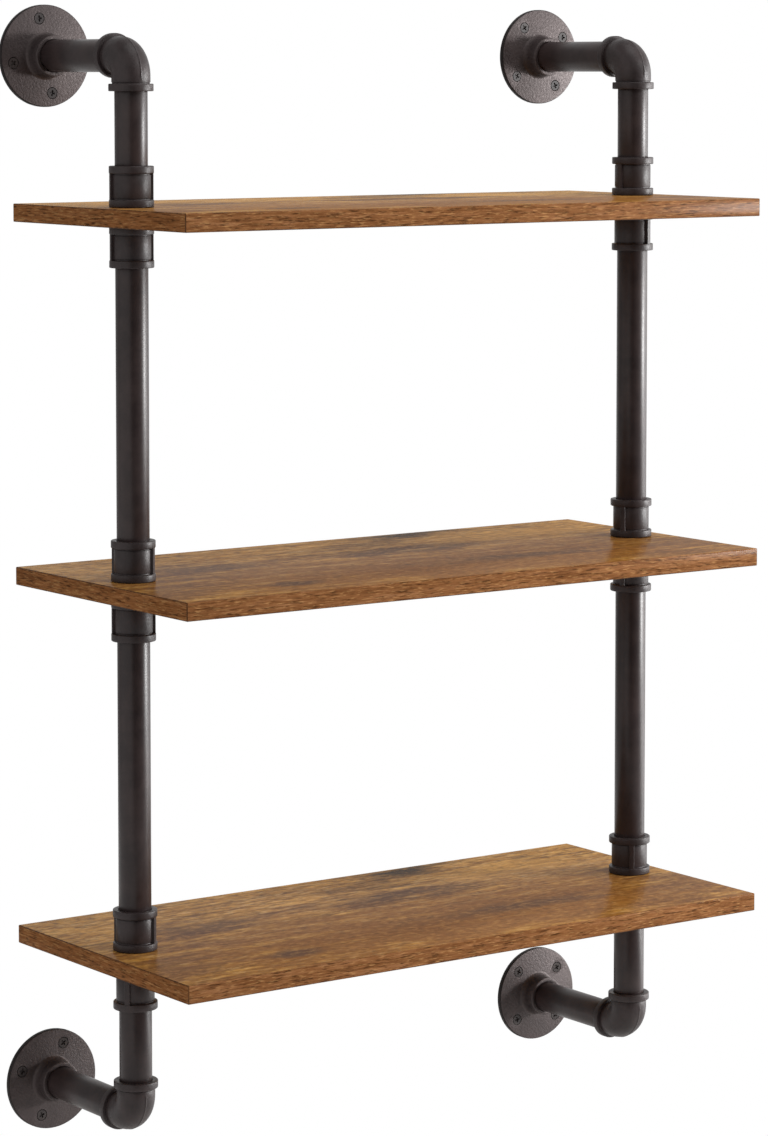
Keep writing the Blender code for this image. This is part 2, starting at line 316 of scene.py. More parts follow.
@dataclass(frozen=True)
class PrintedWood:
    """Melamine paper printed as rustic oak and pressed satin on a particle board.

    The print gives long smoky clouds, narrow streaks along the grain, and short
    dark pores with pale flecks between them. The paper itself is nearly matt, and
    a thin pressed wear layer over it gives a soft, weak reflection.
    """

    name: str
    grain: Grain
    tones: tuple[tuple[float, str], ...]
    marks: tuple[Mark, ...]
    clouds: tuple[Cloud, ...] = ()
    streak_mm: Triple = (110.0, 7.0, 30.0)
    streak_octaves: float = 4.0
    hair_mm: Triple = (30.0, 3.0, 6.0)  # real hairs are near 1 mm: drawn coarser to show
    hair_octaves: float = 3.0
    hair_weight: float = 0.5
    drift_mm: Triple = (70.0, 16.0, 4000.0)  # a cloud's ragged rim, alike on every board
    drift_octaves: float = 5.0
    drift_by: float = 0.5  # how far the rim strays, as a share of a cloud's half size
    octave_fade: float = 0.6  # what each octave keeps of the last one's strength
    polish: Pair = (0.48, 0.62)  # roughness of the paper at its least and most
    relief_mm: float = 0.03
    gloss: float = 0.0  # specular level of the bare paper
    wear_layer: float = 0.18
    wear_layer_roughness: float = 0.2
    ior: float = 1.5

    def layer(
        self, tree: Tree, place: Socket, size_mm: Triple, octaves: float, shift: float
    ) -> Socket:
        """Add one stretched noise of the print.

        Args:
            tree: The material's node tree.
            place: Object coordinates.
            size_mm: The pattern's sizes along, across and through the grain.
            octaves: How many finer octaves it has.
            shift: Offset in patterns.

        Returns:
            The noise's value.
        """
        scale = [0.0] * 3
        for axis, size in zip(self.grain.value, size_mm):
            scale[axis] = 1 / (size * MM)
        moved = {"Vector": place, "Scale": scale, "Location": (shift, shift, shift)}
        spot = add_node(tree, "Mapping", moved)
        noise = {"Vector": spot, "Scale": 1.0, "Detail": octaves, "Roughness": self.octave_fade}
        return add_node(tree, "TexNoise", noise)

    def mark_inks(self, tree: Tree, place: Socket) -> tuple[Inks, Inks]:
        """Mask the marks.

        Args:
            tree: The material's node tree.
            place: Object coordinates.

        Returns:
            Colours and masks of the marks under the clouds, and of those over them.
        """
        under, over = [], []
        for number, mark in enumerate(self.marks):
            shift = MARK_SHIFT + MARK_STEP * number
            value = self.layer(tree, place, mark.size_mm, mark.octaves, shift)
            cover = (value, mark.start, mark.full, 0.0, mark.share)
            inks = over if mark.over_clouds else under
            inks.append((mark.colour, add_node(tree, "MapRange", cover)))
        return under, over

    def cloud_inks(self, tree: Tree, place: Socket) -> Inks:
        """Mask the smoky clouds.

        Args:
            tree: The material's node tree.
            place: Object coordinates.

        Returns:
            Each cloud's colour and mask.
        """
        drift = self.layer(tree, place, self.drift_mm, self.drift_octaves, DRIFT_SHIFT)
        stray = add_node(tree, "MapRange", (drift, *NOISE_SPAN, -self.drift_by, self.drift_by))
        inks = []
        for cloud in self.clouds:
            scale, shift = [0.0] * 3, [0.0] * 3
            for axis, centre, half in zip(self.grain.value, cloud.centre_mm, cloud.half_mm):
                scale[axis] = 1 / (half * MM)
                shift[axis] = -centre / half
            spot = add_node(tree, "Mapping", {"Vector": place, "Scale": scale, "Location": shift})
            reach = add_node(tree, "VectorMath", (spot,), "Value", operation="LENGTH")
            ragged = add_node(tree, "Math", (reach, stray), operation="ADD")
            cover = (ragged, *CLOUD_RIM, cloud.share, 0.0)
            mask = add_node(tree, "MapRange", cover, interpolation_type="SMOOTHSTEP")
            inks.append((cloud.colour, mask))
        return inks

    def material(self) -> Material:
        """Make the material.

        Returns:
            The finished material.
        """
        material, tree, shader = blank_material(self.name)
        place = add_node(tree, "TexCoord", out="Object")
        streak = self.layer(tree, place, self.streak_mm, self.streak_octaves, STREAK_SHIFT)
        hair = self.layer(tree, place, self.hair_mm, self.hair_octaves, HAIR_SHIFT)
        weights = {"Factor": self.hair_weight, VALUE_A: streak, VALUE_B: hair}
        tone = add_node(tree, "Mix", weights, data_type="FLOAT")
        colour = add_node(tree, "ValToRGB", (tone,), stops=self.tones)
        under, over = self.mark_inks(tree, place)
        for ink, mask in [*under, *self.cloud_inks(tree, place), *over]:
            cover = {"Factor": mask, COLOUR_A: colour, COLOUR_B: linear(ink)}
            colour = add_node(tree, "Mix", cover, COLOUR_OUT, data_type="RGBA")
        bump = {"Height": hair, "Distance": self.relief_mm * MM, "Strength": 1.0}
        dressing = {
            "Base Color": colour,
            "Roughness": add_node(tree, "MapRange", (streak, *NOISE_SPAN, *self.polish)),
            "Normal": add_node(tree, "Bump", bump),
            "IOR": self.ior,
            "Specular IOR Level": self.gloss,
            "Coat Weight": self.wear_layer,
            "Coat Roughness": self.wear_layer_roughness,
        }
        feed(tree, shader, dressing)
        return material


def pick(piece: Piece) -> None:
    """Make one object the only selected one, and the active one.

    Args:
        piece: The object.
    """
    bpy.ops.object.select_all(action="DESELECT")
    piece.select_set(True)
    bpy.context.view_layer.objects.active = piece


def start_ring(name: str, station: Station, segments: int, filled: bool = False) -> Piece:
    """Add a circle about Z and leave it selected in edit mode.

    Args:
        name: The piece's name.
        station: The circle's radius and height.
        segments: How many corners it has.
        filled: Whether a face closes it.

    Returns:
        The new object.
    """
    radius, height = station
    bpy.ops.mesh.primitive_circle_add(
        vertices=segments,
        radius=radius,
        fill_type="NGON" if filled else "NOTHING",
        location=(0, 0, height),
    )
    piece = bpy.context.object
    piece.name = name
    bpy.ops.object.transform_apply()
    bpy.ops.object.mode_set(mode="EDIT")
    bpy.ops.mesh.select_mode(type="FACE" if filled else "EDGE")
    bpy.ops.mesh.select_all(action="SELECT")
    return piece


def draw_out(stations: Sequence[Station], filled: bool = False, axis: Axis = Axis.Z) -> None:
    """Extrude the selected ring along an axis through each next station.

    Args:
        stations: Radius and height of the ring as it is, then of each next one.
        filled: Whether the ring carries a face.
        axis: The axis that the heights are on.
    """
    extrude = bpy.ops.mesh.extrude_region_move if filled else bpy.ops.mesh.extrude_edges_move
    for (radius, height), (next_radius, next_height) in zip(stations, stations[1:]):
        move, grow, centre = [0.0] * 3, [next_radius / radius] * 3, [0.0] * 3
        move[axis], grow[axis], centre[axis] = next_height - height, 1.0, next_height
        extrude(TRANSFORM_OT_translate={"value": move})
        bpy.ops.transform.resize(value=grow, center_override=centre)


def close_up() -> None:
    """Merge meeting rings, turn the faces outwards and leave edit mode."""
    bpy.ops.mesh.select_all(action="SELECT")
    bpy.ops.mesh.remove_doubles(threshold=NEAR)
    bpy.ops.mesh.normals_make_consistent(inside=False)
    bpy.ops.object.mode_set(mode="OBJECT")


def turned(name: str, stations: Sequence[Station], segments: int, solid: bool = False) -> Piece:
    """Model a round body about Z.

    Args:
        name: The piece's name.
        stations: Radius and height of each ring, once round a hollow section or end to end.
        segments: How many corners each ring has.
        solid: Whether the body has no bore and a face at each end.

    Returns:
        The closed body.
    """
    piece = start_ring(name, stations[0], segments, solid)
    draw_out(stations if solid else [*stations, stations[0]], solid)
    close_up()
    return piece


def round_edges(piece: Piece, wanted: EdgeTest, width: float, steps: int = 3) -> None:
    """Bevel the edges that a test picks out.

    Args:
        piece: The body to work on.
        wanted: Takes an edge's two ends and says whether it is rounded.
        width: Width of the bevel, in metres.
        steps: How many facets it has.
    """
    pick(piece)
    bpy.ops.object.mode_set(mode="EDIT")
    bpy.ops.mesh.select_mode(type="EDGE")
    bpy.ops.mesh.select_all(action="DESELECT")
    shape = bmesh.from_edit_mesh(piece.data)
    for edge in shape.edges:
        edge.select_set(wanted(edge.verts[0].co, edge.verts[1].co))
    bmesh.update_edit_mesh(piece.data)
    bpy.ops.mesh.bevel(offset=width, segments=steps, affect="EDGES", clamp_overlap=True)
    bpy.ops.object.mode_set(mode="OBJECT")


def ring_at(*stations: Station) -> EdgeTest:
    """Make a test for the edges that run round Z at these stations.

    Args:
        stations: Radius and height of each ring to find.

    Returns:
        The test.
    """

    def on_one(first: Vector, second: Vector) -> bool:
        """Say whether both ends of an edge lie on the same ring."""
        ends = [(math.hypot(end.x, end.y), end.z) for end in (first, second)]
        return any(all(math.dist(end, ring) < NEAR for end in ends) for ring in stations)

    return on_one


def combine(piece: Piece, tool: Piece, joining: Joining) -> None:
    """Cut a tool out of a body or join it on, and remove the tool.

    Args:
        piece: The body to work on.
        tool: The body that cuts or joins.
        joining: Which of the two.
    """
    pick(piece)
    modifier = piece.modifiers.new("shape", "BOOLEAN")
    modifier.operation = joining.value
    modifier.solver = "EXACT"
    modifier.object = tool
    bpy.ops.object.modifier_apply(modifier=modifier.name)
    bpy.data.objects.remove(tool)


def block(name: str, low: Point, high: Point) -> Piece:
    """Model a block between two corners.

    Args:
        name: The piece's name.
        low: Its lowest corner.
        high: Its highest corner.

    Returns:
        The block, with its place in its mesh.
    """
    middle = [(a + b) / 2 for a, b in zip(low, high)]
    bpy.ops.mesh.primitive_cube_add(size=1.0, location=middle)
    piece = bpy.context.object
    piece.name = name
    piece.scale = [b - a for a, b in zip(low, high)]
    bpy.ops.object.transform_apply()
    return piece


def smooth(piece: Piece, degrees: float = 32.0) -> None:
    """Shade a body smooth, with edges sharper than an angle left hard."""
    pick(piece)
    bpy.ops.object.shade_smooth_by_angle(angle=math.radians(degrees))


def mirrored(stations: Sequence[Station]) -> list[Station]:
    """Turn a run of stations upside down, in reverse order."""
    return [(radius, -height) for radius, height in reversed(stations)]


def middle_of(node: str) -> Vector:
    """Give the centre of a CAD node's box."""
    low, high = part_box(node)
    return (low + high) / 2


def off_wall(node: str, depth: float, degrees: float) -> Matrix:
    """Place a pattern on a CAD node's axis so that its +Z faces out of the wall.

    Args:
        node: The CAD node.
        depth: Place of the pattern's origin along Y.
        degrees: How far it is turned about its axis.

    Returns:
        The place.
    """
    centre = middle_of(node)
    facing = Matrix.Rotation(QUARTER, 4, "X") @ Matrix.Rotation(math.radians(degrees), 4, "Z")
    return Matrix.Translation((centre.x, depth, centre.z)) @ facing


def stand_for(piece: Piece, node: str) -> Piece:
    """Tie a finished piece to the CAD node that it replaces.

    Args:
        piece: The finished piece.
        node: The CAD node.

    Returns:
        The same piece.
    """
    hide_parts(node)
    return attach(piece, BODY)


def set_out(
    pattern: Piece,
    finishes: Sequence[Enamel],
    places: Mapping[str, Matrix],
    ending: str,
) -> list[Piece]:
    """Finish a pattern, stand a copy with its own mesh for each CAD node and remove the pattern.

    Args:
        pattern: The body to copy.
        finishes: Its finishes, in the order of its faces' material numbers.
        places: Where the copy for each CAD node stands.
        ending: What a copy's name adds to its node's.

    Returns:
        The copies.
    """
    for finish in finishes:
        pattern.data.materials.append(finish.material())
    smooth(pattern)
    pieces = []
    for node, place in places.items():
        piece = pattern.copy()
        piece.data = pattern.data.copy()
        piece.name = piece.data.name = f"{node}_{ending}"
        bpy.context.scene.collection.objects.link(piece)
        piece.data.transform(place)
        pieces.append(stand_for(piece, node))
    bpy.data.objects.remove(pattern)
    return pieces


@dataclass
class Boards:
    """The three boards: printed faces, edge bands and arrises painted dark as shade."""

    finishes: Sequence[PrintedWood]  # in the order of Skin
    arris_width: float = 0.8 * MM
    hole_r: float = 14.75 * MM
    hole_segments: int = 48
    square: float = 0.99  # least part of a normal on one axis for a face to be flat to it

    def build(self) -> list[Piece]:
        """Model every board."""
        skins = [finish.material() for finish in self.finishes]
        return [self.board(shelf, skins) for shelf in Shelf]

    def skin_of(self, normal: Vector) -> Skin:
        """Choose a face's skin: the upper front arris wears the band, the others the dark arris,
        which is painted shade.

        Args:
            normal: The face's normal.

        Returns:
            The skin.
        """
        parts = [abs(part) for part in normal]
        axis = parts.index(max(parts))
        if parts[axis] > self.square:
            return (Skin.END_BAND, Skin.LONG_BAND, Skin.FACE)[axis]
        upper_front = normal.y < 0 < normal.z and parts[0] < 1 - self.square
        return Skin.LONG_BAND if upper_front else Skin.ARRIS

    def board(self, shelf: Shelf, skins: Sequence[Material]) -> Piece:
        """Model one board with its rounded arrises and drilled holes.

        Args:
            shelf: Which board.
            skins: Materials in the order of Skin.

        Returns:
            The finished board.
        """
        node = f"{shelf}_shelf"
        low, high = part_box(node)
        board = block(f"{node}_board", low, high)
        round_edges(board, lambda first, second: True, self.arris_width)
        hole = [(self.hole_r, low.z - self.hole_r), (self.hole_r, high.z + self.hole_r)]
        for side in Side:
            centre = middle_of(f"{side}_{shelf}_through_nipple")
            drill = turned("drill", hole, self.hole_segments, solid=True)
            drill.data.transform(Matrix.Translation((centre.x, centre.y, 0)))
            combine(board, drill, Joining.CUT)
        for skin in skins:
            board.data.materials.append(skin)
        # Every arris but the upper front one takes the dark arris finish, which is painted shade.
        for face in board.data.polygons:
            face.material_index = self.skin_of(face.normal)
        smooth(board)
        return stand_for(board, node)


@dataclass
class Pipes:
    """The straight pipes: arms, risers and the long pipes between boards."""

    finish: Enamel
    outer_r: float = 13.75 * MM
    bore_r: float = 11.15 * MM
    end_round: float = 0.5 * MM
    segments: int = 56
    hidden: str = "through_nipple"

    def build(self, nodes: Mapping[str, Piece]) -> list[Piece]:
        """Model every pipe that shows, and dress the nipples hidden in the boards.

        Args:
            nodes: The CAD nodes by name.

        Returns:
            The new pipes.
        """
        paint = self.finish.material()
        for name, node in nodes.items():
            if name.endswith(self.hidden):
                node.material_slots[0].material = paint
        runs = ("top_to_middle", "middle_to_bottom")
        names = [f"{side}_{end}_{kind}" for side, end, kind in product(Side, End, ("arm", "riser"))]
        names += [f"{side}_pipe_{run}" for side, run in product(Side, runs)]
        return [self.pipe(name, paint) for name in names]

    def pipe(self, node: str, paint: Material) -> Piece:
        """Model one pipe along its CAD node's long axis.

        Args:
            node: The CAD node.
            paint: The pipe's material.

        Returns:
            The finished pipe.
        """
        low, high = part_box(node)
        extent = high - low
        half = max(extent) / 2
        outside = [(self.outer_r, -half), (self.outer_r, half)]
        stations = [*outside, (self.bore_r, half), (self.bore_r, -half)]
        pipe = turned(f"{node}_tube", stations, self.segments)
        round_edges(pipe, ring_at(*stations), self.end_round, FEW_STEPS)
        lying = extent.y > extent.z
        turn = Matrix.Rotation(QUARTER, 4, "X") if lying else Matrix.Identity(4)
        pipe.data.transform(Matrix.Translation((low + high) / 2) @ turn)
        pipe.data.materials.append(paint)
        smooth(pipe)
        return stand_for(pipe, node)


@dataclass(frozen=True)
class Collar:
    """The beaded and grooved mouth that couplings and elbows share."""

    body_r: float = 16.15 * MM
    bead_r: float = 18.65 * MM
    bead_height: float = 6.2 * MM
    bead_round: float = 0.7 * MM
    groove_width: float = 1.1 * MM
    groove_depth: float = 0.5 * MM
    root_round: float = 0.25 * MM
    socket_r: float = 14.05 * MM
    segments: int = 56

    def bead(self, mouth: float) -> list[Station]:
        """List the bead's two rings, from the mouth's height inwards."""
        return [(self.bead_r, mouth), (self.bead_r, mouth - self.bead_height)]

    def groove(self, mouth: float) -> list[Station]:
        """List the rings of the groove behind the bead.

        Args:
            mouth: Height of the mouth.

        Returns:
            Radius and height of each ring, from the bead inwards.
        """
        neck = mouth - self.bead_height
        floor = self.body_r - self.groove_depth
        shore = neck - self.groove_width
        return [(floor, neck), (floor, shore), (self.body_r, shore)]


@dataclass
class Couplings:
    """The ribbed couplings above and below each board."""

    finish: Enamel
    collar: Collar
    turns: Mapping[tuple[Side, Shelf], Pair]  # degrees, above and below the board
    length: float = 34.0 * MM
    rib_width: float = 4.6 * MM
    rib_crest_r: float = 18.25 * MM
    rib_root_r: float = 15.0 * MM
    rib_round: float = 0.35 * MM

    def build(self) -> list[Piece]:
        """Model one coupling and stand a copy at every place.

        Returns:
            The couplings.
        """
        places = {}
        for (side, shelf), pair in self.turns.items():
            for where, turn in zip(("above", "below"), pair):
                node = f"{side}_{shelf}_coupling_{where}"
                spin = Matrix.Rotation(math.radians(turn), 4, "Z")
                places[node] = Matrix.Translation(middle_of(node)) @ spin
        return set_out(self.pattern(), (self.finish,), places, "casting")

    def pattern(self) -> Piece:
        """Model one coupling about its centre.

        Returns:
            The coupling, with its ribs towards +X and -X.
        """
        top = self.length / 2
        collar = self.collar
        bead, groove = collar.bead(top), collar.groove(top)
        far_bead, far_groove = mirrored(bead), mirrored(groove)
        mouths = [(collar.socket_r, -top), (collar.socket_r, top)]
        stations = [*bead, *groove, *far_groove, *far_bead, *mouths]
        body = turned("coupling", stations, collar.segments)
        round_edges(body, ring_at(*bead, *far_bead), collar.bead_round)
        roots = ring_at(*groove, *far_groove, *mouths)
        round_edges(body, roots, collar.root_round, FEW_STEPS)
        reach = top - collar.bead_height / 2
        half = self.rib_width / 2
        for side in (1, -1):
            inner, outer = sorted((side * self.rib_root_r, side * self.rib_crest_r))
            rib = block("rib", (inner, -half, -reach), (outer, half, reach))
            crest = side * self.rib_crest_r
            round_edges(
                rib,
                lambda first, second: max(abs(first.x - crest), abs(second.x - crest)) < NEAR,
                self.rib_round,
            )
            combine(body, rib, Joining.ADD)
        return body


@dataclass
class Elbows:
    """The beaded elbows between the uprights and the arms."""

    finish: Enamel
    collar: Collar
    reach: float = 29.35 * MM
    bend_r: float = 16.85 * MM
    bend_steps: int = 16
    socket_depth: float = 11.3 * MM
    bore_r: float = 11.15 * MM
    seam_width: float = 0.5 * MM
    seam_height: float = 0.3 * MM

    def build(self) -> list[Piece]:
        """Model one elbow and stand a copy at every corner.

        Returns:
            The elbows.
        """
        places = {}
        for side, end in product(Side, End):
            arm, riser = (middle_of(f"{side}_{end}_{kind}") for kind in ("arm", "riser"))
            corner = Matrix.Translation((arm.x, riser.y, arm.z))
            turn = 0.0 if end is End.UPPER else math.pi
            places[f"{side}_{end}_elbow"] = corner @ Matrix.Rotation(turn, 4, "Y")
        return set_out(self.pattern(), (self.finish,), places, "casting")

    def bend(self, angle: float) -> None:
        """Spin the selected ring round the corner, to the arm or back."""
        centre = (0, self.bend_r, -self.bend_r)
        bpy.ops.mesh.spin(steps=self.bend_steps, angle=angle, center=centre, axis=(1, 0, 0))

    def pattern(self) -> Piece:
        """Model one elbow about its corner, open towards -Z and +Y.

        Returns:
            The elbow.
        """
        collar = self.collar
        bead, groove = collar.bead(self.reach), collar.groove(self.reach)
        outside = [*bead, *groove, (collar.body_r, self.bend_r)]
        floor = self.reach - self.socket_depth
        socket = [(collar.socket_r, self.reach), (collar.socket_r, floor)]
        inside = [*socket, (self.bore_r, floor), (self.bore_r, self.bend_r)]
        riser = [(radius, -reach) for radius, reach in outside]
        elbow = start_ring("elbow", riser[0], collar.segments)
        draw_out(riser)
        self.bend(QUARTER)
        draw_out([*reversed(outside), *inside], axis=Axis.Y)
        self.bend(-QUARTER)
        draw_out([*mirrored(inside), riser[0]])
        close_up()
        self.ease(elbow, bead, collar.bead_round)
        self.ease(elbow, [*groove, inside[0]], collar.root_round, FEW_STEPS)
        self.raise_seam(elbow)
        return elbow

    def ease(self, elbow: Piece, stations: Sequence[Station], width: float, steps: int = 3) -> None:
        """Round the rings at these stations on both legs.

        Args:
            elbow: The elbow to work on.
            stations: Radius and distance from the corner of each ring.
            width: Width of the rounding.
            steps: How many facets it has.
        """
        down, back = ring_at(*mirrored(stations)), ring_at(*stations)

        def wanted(first: Vector, second: Vector) -> bool:
            """Say whether an edge lies on a ring of either leg."""
            return down(first, second) or back(first.xzy, second.xzy)

        round_edges(elbow, wanted, width, steps)

    def raise_seam(self, elbow: Piece) -> None:
        """Raise the mould's parting line a hair along the outside of the bend.

        Args:
            elbow: The elbow to work on.
        """
        collar = self.collar
        limit = collar.groove(self.reach)[-1][1] - collar.root_round - NEAR
        centre = Vector((0, self.bend_r, -self.bend_r))
        far = self.bend_r + collar.body_r - collar.root_round
        crest = collar.body_r - NEAR

        def outer(point: Vector) -> bool:
            """Say whether a point is on the parting line."""
            between = abs(point.x) < NEAR and point.z > -limit and point.y < limit
            return between and (max(-point.y, point.z) >= crest or (point - centre).length > far)

        round_edges(
            elbow,
            lambda first, second: outer(first) and outer(second),
            self.seam_width,
            FEW_STEPS,
        )
        bpy.ops.object.mode_set(mode="EDIT")
        bpy.ops.mesh.select_mode(type="VERT")
        bpy.ops.mesh.select_all(action="DESELECT")
        shape = bmesh.from_edit_mesh(elbow.data)
        for vertex in shape.verts:
            vertex.select_set(outer(vertex.co))
        bmesh.update_edit_mesh(elbow.data)
        bpy.ops.transform.shrink_fatten(value=self.seam_height)
        bpy.ops.object.mode_set(mode="OBJECT")


@dataclass
class Flanges:
    """The wall flanges, each with a hub, countersunk holes and a rim painted darker as shade."""

    finish: Enamel
    rim_shade_finish: Enamel
    turns: Mapping[tuple[Side, End], float]  # degrees
    rim_r: float = 43.5 * MM
    plate: float = 4.6 * MM
    height: float = 19.6 * MM
    bore_r: float = 14.05 * MM
    lip_r: float = 17.55 * MM
    foot_r: float = 21.05 * MM
    flare_height: float = 7.5 * MM
    flare_steps: int = 8
    rim_round: float = 0.9 * MM
    lip_round: float = 0.9 * MM
    back_round: float = 0.3 * MM
    screw_circle_r: float = 32.275 * MM
    screws: int = 4
    sink_r: float = 5.15 * MM
    hole_r: float = 2.6 * MM
    sink_rim: float = 0.6 * MM
    segments: int = 96
    hole_segments: int = 24

    def build(self) -> list[Piece]:
        """Model one flange and set a copy at every corner.

        Returns:
            The flanges.
        """
        pattern = self.pattern()
        # Faces on the rim take the darker rim enamel, which is painted shade.
        edge = self.rim_r - self.rim_round / 2
        for face in pattern.data.polygons:
            face.material_index = int(math.hypot(face.center.x, face.center.y) > edge)
        places = {}
        for (side, end), turn in self.turns.items():
            node = f"{side}_{end}_flange"
            places[node] = off_wall(node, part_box(node)[1].y, turn)
        return set_out(pattern, (self.finish, self.rim_shade_finish), places, "casting")

    def pattern(self) -> Piece:
        """Model one flange lying on the origin, with its hub towards +Z.

        Returns:
            The flange.
        """
        rim = (self.rim_r, self.plate)
        back = [(self.rim_r, 0.0), (self.bore_r, 0.0)]
        lip = (self.lip_r, self.height)
        mouth = (self.bore_r, self.height)
        flare = []
        for step in range(self.flare_steps + 1):
            angle = QUARTER * step / self.flare_steps
            radius = self.foot_r - (self.foot_r - self.lip_r) * math.sin(angle)
            flare.append((radius, self.plate + self.flare_height * (1 - math.cos(angle))))
        body = turned("flange", [back[0], rim, *flare, lip, mouth, back[1]], self.segments)
        round_edges(body, ring_at(rim), self.rim_round)
        round_edges(body, ring_at(lip), self.lip_round)
        round_edges(body, ring_at(mouth, *back), self.back_round, FEW_STEPS)
        throat = -self.sink_rim - (self.sink_r - self.hole_r)
        wide = [(self.sink_r, self.plate), (self.sink_r, -self.sink_rim)]
        narrow = [(self.hole_r, throat), (self.hole_r, -2 * self.plate)]
        for number in range(self.screws):
            angle = 2 * math.pi * number / self.screws
            x, y = self.screw_circle_r * math.cos(angle), self.screw_circle_r * math.sin(angle)
            cutter = turned("countersink", [*wide, *narrow], self.hole_segments, solid=True)
            cutter.data.transform(Matrix.Translation((x, y, self.plate)))
            combine(body, cutter, Joining.CUT)
        return body


@dataclass
class Screws:
    """The countersunk screws that hold the flanges to the wall."""

    finish: Enamel
    head_r: float = 4.5 * MM
    rim: float = 0.3 * MM
    shank_r: float = 2.2 * MM
    core_r: float = 1.7 * MM
    tip_share: float = 0.125  # of the core's radius
    length: float = 16.0 * MM
    point: float = 4.0 * MM
    thread_pitch: float = 1.75 * MM
    thread_root: Pair = (0.35, 0.75)  # shares of the pitch where the core starts and ends
    plain: float = 5.2 * MM  # from the head's face to the first thread
    recess_span: float = 5.2 * MM
    recess_width: float = 1.5 * MM
    recess_depth: float = 1.4 * MM
    segments: int = 24
    turn_step: float = 37.0  # degrees between the recesses of neighbouring screws

    def build(self, names: Sequence[str]) -> list[Piece]:
        """Model one screw and set a copy in every hole.

        Args:
            names: The screws' CAD nodes.

        Returns:
            The screws.
        """
        places = {
            node: off_wall(node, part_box(node)[0].y, self.turn_step * number)
            for number, node in enumerate(names)
        }
        return set_out(self.pattern(), (self.finish,), places, "steel")

    def pattern(self) -> Piece:
        """Model one screw along -Z, with the face of its head on the origin.

        Returns:
            The screw.
        """
        stations = [(self.head_r, 0.0), (self.head_r, -self.rim)]
        stations.append((self.shank_r, -self.rim - (self.head_r - self.shank_r)))
        stations.append((self.shank_r, -self.plain))
        depth = self.plain
        while depth + self.thread_pitch < self.length - self.point:
            for share in self.thread_root:
                stations.append((self.core_r, -depth - self.thread_pitch * share))
            depth += self.thread_pitch
            stations.append((self.shank_r, -depth))
        stations.append((self.core_r, -self.length + self.point))
        stations.append((self.core_r * self.tip_share, -self.length))
        screw = turned("screw", stations, self.segments, solid=True)
        half = self.recess_span / 2
        slot = self.recess_width / 2
        for along, across in ((half, slot), (slot, half)):
            low = (-along, -across, -self.recess_depth)
            high = (along, across, self.recess_depth)
            combine(screw, block("recess", low, high), Joining.CUT)
        return screw


def aim(thing: Piece, target: Point) -> None:
    """Turn a lamp or a card to face a point."""
    thing.rotation_euler = (Vector(target) - thing.location).to_track_quat("-Z", "Y").to_euler()


@dataclass(frozen=True)
class Softbox:
    """One rectangular studio lamp that faces a point."""

    name: str
    place: Triple
    size: Pair
    watts: float
    target: Triple = (0.0, -0.14, 0.0)
    reach: Reach = Reach.ALL

    def build(self) -> None:
        """Hang the lamp."""
        data = bpy.data.lights.new(self.name, "AREA")
        data.shape = "RECTANGLE"
        data.size, data.size_y = self.size
        data.energy = self.watts
        lamp = bpy.data.objects.new(self.name, data)
        bpy.context.scene.collection.objects.link(lamp)
        lamp.location = self.place
        aim(lamp, self.target)
        lamp.visible_diffuse = self.reach is Reach.ALL


@dataclass(frozen=True)
class Flag:
    """A black or grey studio card that keeps the white surround out of some reflections."""

    name: str
    place: Triple
    size: Pair
    glow: float = 0.0  # what a grey card throws back, as a share of the white surround
    colour: str = "0B0A0A"
    target: Triple = (0.0, -0.14, -0.2)

    def build(self) -> None:
        """Hang the flag where only reflections see it."""
        bpy.ops.mesh.primitive_plane_add(size=1.0, location=self.place)
        flag = bpy.context.object
        flag.name = self.name
        aim(flag, self.target)
        flag.scale = (*self.size, 1.0)
        # Dull cloth: it gives the eye only a dark patch in what the enamel mirrors.
        material, tree, shader = blank_material("black_flag_cloth")
        dressing = {
            "Base Color": linear(self.colour),
            "Roughness": 1.0,
            "Specular IOR Level": 0.0,
            "Emission Color": WHITE,
            "Emission Strength": self.glow,
        }
        feed(tree, shader, dressing)
        flag.data.materials.append(material)
        for ray in ("camera", "diffuse", "transmission", "shadow"):
            setattr(flag, f"visible_{ray}", False)


